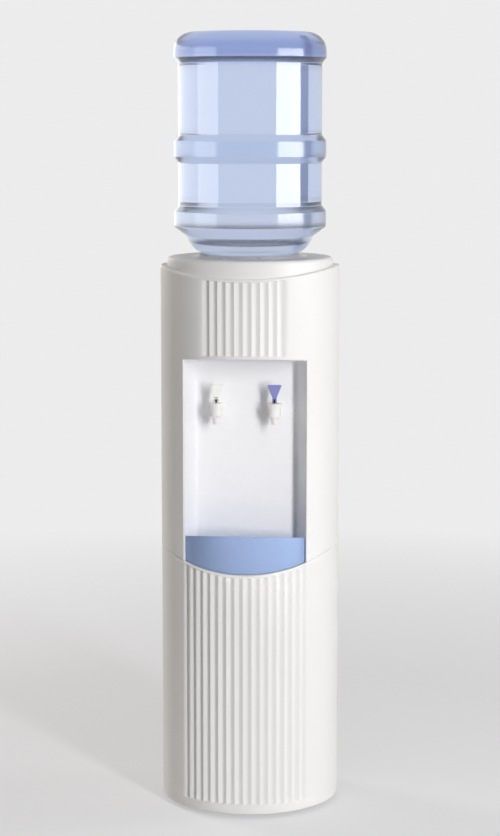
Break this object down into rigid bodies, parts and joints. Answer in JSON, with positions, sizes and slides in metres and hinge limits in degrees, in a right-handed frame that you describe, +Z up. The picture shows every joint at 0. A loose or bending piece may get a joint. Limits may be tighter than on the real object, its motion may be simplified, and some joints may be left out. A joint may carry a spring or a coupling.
{
  "type": "water cooler",
  "caption": "Floor-standing round water cooler with inverted bottle, fluted shells, alcove with two faucets, and drip tray.",
  "frame": {"origin": "on the floor under the middle of the round body", "axes": "+Z up, the alcove and faucets face -Y, +X to the viewer's right"},
  "size_m": [0.318, 0.318, 1.3748],
  "materials": {
    "shell_white": "moulded ABS, fine satin gloss",
    "liner_white": "moulded polystyrene, satin gloss",
    "panel_grey": "powder-coated sheet steel, fine orange peel",
    "tray_blue": "moulded plastic, satin gloss",
    "grille_blue": "moulded plastic, satin gloss",
    "bottle_blue": "clear blue polycarbonate, polished",
    "cap_blue": "soft polyethylene",
    "faucet_white": "moulded acetal, semi gloss",
    "lever_clear": "translucent natural plastic",
    "lever_blue": "translucent blue plastic",
    "silicone": "food-grade silicone",
    "black_rubber": "moulded rubber",
    "black_plastic": "moulded plastic",
    "grey_plastic": "moulded plastic",
    "knob_grey": "moulded plastic",
    "galvanised_steel": "galvanised sheet",
    "plated_steel": "zinc plated",
    "stainless_steel": "drawn and brushed",
    "copper": "drawn copper tube",
    "black_paint": "baked black enamel",
    "foam_cream": "moulded polyurethane foam"
  },
  "bodies": {
    "root": {"base_pan": "galvanised_steel", "rubber_feet": "black_rubber", "lower_shell": "shell_white", "upper_shell": "shell_white", "alcove_liner": "liner_white", "rear_panel": "panel_grey", "rear_screws": "plated_steel", "top_lid": "shell_white", "bottle_seat": "liner_white", "feed_probe": "liner_white", "left_post": "galvanised_steel", "right_post": "galvanised_steel", "tank_shelf": "galvanised_steel", "cold_tank": "stainless_steel", "tank_cover": "liner_white", "tank_baffle": "liner_white", "tank_insulation": "foam_cream", "evaporator_coil": "copper", "compressor": "black_paint", "compressor_grommets": "black_rubber", "compressor_nuts": "plated_steel", "relay_cover": "black_plastic", "discharge_tube": "copper", "filter_drier": "copper", "capillary_tube": "copper", "suction_tube": "copper", "condenser_coil": "black_paint", "condenser_wires": "black_paint", "condenser_clips": "plated_steel", "thermostat": "grey_plastic", "sensor_bulb": "copper", "power_inlet": "black_plastic", "wiring_loom": "black_plastic", "left_faucet_body": "faucet_white", "left_bonnet": "faucet_white", "left_return_spring": "plated_steel", "left_shank_nut": "plated_steel", "left_supply_tube": "silicone", "right_faucet_body": "faucet_white", "right_bonnet": "faucet_white", "right_return_spring": "plated_steel", "right_shank_nut": "plated_steel", "right_supply_tube": "silicone"},
    "bottle": {"bottle": "bottle_blue", "bottle_cap": "cap_blue"},
    "drip_tray": {"drip_tray": "tray_blue"},
    "drip_grille": {"drip_grille": "grille_blue"},
    "thermostat_knob": {"thermostat_knob": "knob_grey"},
    "left_valve": {"left_valve_stem": "black_plastic", "left_seat_cup": "silicone", "left_lever_pin": "plated_steel"},
    "left_lever": {"left_lever": "lever_clear"},
    "right_valve": {"right_valve_stem": "black_plastic", "right_seat_cup": "silicone", "right_lever_pin": "plated_steel"},
    "right_lever": {"right_lever": "lever_blue"}
  },
  "joints": [
    {"name": "bottle_lift", "type": "slide", "parent": "root", "child": "bottle", "axis": [0, 0, 1], "range_m": [0, 0.12]},
    {"name": "tray_slide", "type": "slide", "parent": "root", "child": "drip_tray", "axis": [0, -1, 0], "range_m": [0, 0.1]},
    {"name": "grille_lift", "type": "slide", "parent": "drip_tray", "child": "drip_grille", "axis": [0, 0, 1], "range_m": [0, 0.04]},
    {"name": "thermostat_turn", "type": "hinge", "parent": "root", "child": "thermostat_knob", "pos_m": [0.062, 0.112, 0.2], "axis": [0, 1, 0], "range_deg": [0, 270]},
    {"name": "left_stem_lift", "type": "slide", "parent": "root", "child": "left_valve", "axis": [0, 0, 1], "range_m": [0, 0.002], "deforming": ["left_return_spring"]},
    {"name": "left_lever_tilt", "type": "hinge", "parent": "left_valve", "child": "left_lever", "pos_m": [-0.051, -0.105, 0.738], "axis": [1, 0, 0], "range_deg": [0, 25], "stiffness_Nm_per_rad": 0.05, "springref_deg": -17.19},
    {"name": "right_stem_lift", "type": "slide", "parent": "root", "child": "right_valve", "axis": [0, 0, 1], "range_m": [0, 0.002], "deforming": ["right_return_spring"]},
    {"name": "right_lever_tilt", "type": "hinge", "parent": "right_valve", "child": "right_lever", "pos_m": [0.051, -0.105, 0.738], "axis": [1, 0, 0], "range_deg": [0, 25], "stiffness_Nm_per_rad": 0.05, "springref_deg": -17.19}
  ],
  "couplings": [
    {"joint": "left_stem_lift", "follows": "left_lever_tilt", "m_per_rad": 0.0045},
    {"joint": "right_stem_lift", "follows": "right_lever_tilt", "m_per_rad": 0.0045}
  ]
}
